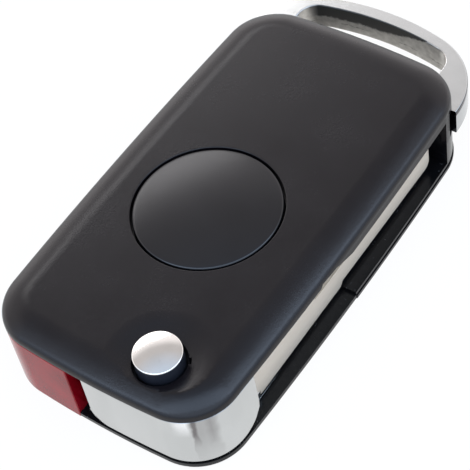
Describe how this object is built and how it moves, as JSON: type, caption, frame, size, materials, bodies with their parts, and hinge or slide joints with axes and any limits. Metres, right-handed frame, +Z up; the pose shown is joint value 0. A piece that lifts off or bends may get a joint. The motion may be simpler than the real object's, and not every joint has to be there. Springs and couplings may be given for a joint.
{
  "type": "flip key fob shell",
  "caption": "Flip key fob shell: rounded case with a fold-out key blade on a chrome hub, a round push button, a release button, a red lens window and a key ring loop.",
  "frame": {"origin": "under the middle of the whole fob, ring included, on the plane that it lies on", "axes": "+X towards the blade side, +Y towards the key ring, +Z up from the back to the button face"},
  "size_m": [0.0342, 0.0692, 0.0141],
  "materials": {
    "cover_black": "fine satin grain, charcoal",
    "back_black": "glossy black",
    "button_black": "smooth satin",
    "lens_red": "translucent red",
    "bright_chrome": "polished chrome plate",
    "satin_chrome": "satin chrome plate",
    "blade_nickel": "satin nickel plate",
    "spring_steel": "bright steel wire and pins",
    "contact_metal": "bright plated strip",
    "pad_rubber": "grey silicone rubber"
  },
  "bodies": {
    "case": {"top_cover": "cover_black", "bottom_cover": "back_black", "ir_lens": "lens_red", "key_ring": "bright_chrome", "ring_pin_left": "spring_steel", "ring_pin_right": "spring_steel", "case_screw_left": "spring_steel", "case_screw_right": "spring_steel", "battery_contact_plus": "contact_metal", "battery_contact_minus": "contact_metal", "button_pad": "pad_rubber"},
    "flip": {"flip_hub": "satin_chrome", "key_blade": "blade_nickel", "blade_pin": "spring_steel", "flip_spring": "spring_steel"},
    "release": {"release_barrel": "back_black", "release_cap": "bright_chrome"},
    "button": {"button_cap": "button_black"},
    "battery_lid": {"battery_cover": "back_black"}
  },
  "joints": [
    {"name": "blade_flip", "type": "hinge", "parent": "case", "child": "flip", "pos_m": [0.0069, -0.02857, 0.0053], "axis": [0, 0, 1], "range_deg": [-180, 0]},
    {"name": "release_press", "type": "slide", "parent": "flip", "child": "release", "axis": [0, 0, -1], "range_m": [0, 0.002], "stiffness_N_per_m": 800, "springref_m": -0.0015, "deforming": ["flip_spring"]},
    {"name": "button_press", "type": "slide", "parent": "case", "child": "button", "axis": [0, 0, -1], "range_m": [0, 0.0006], "stiffness_N_per_m": 1200, "springref_m": -0.0004, "deforming": ["button_pad"]},
    {"name": "battery_cover_slide", "type": "slide", "parent": "case", "child": "battery_lid", "axis": [0, 1, 0], "range_m": [0, 0.031]}
  ]
}
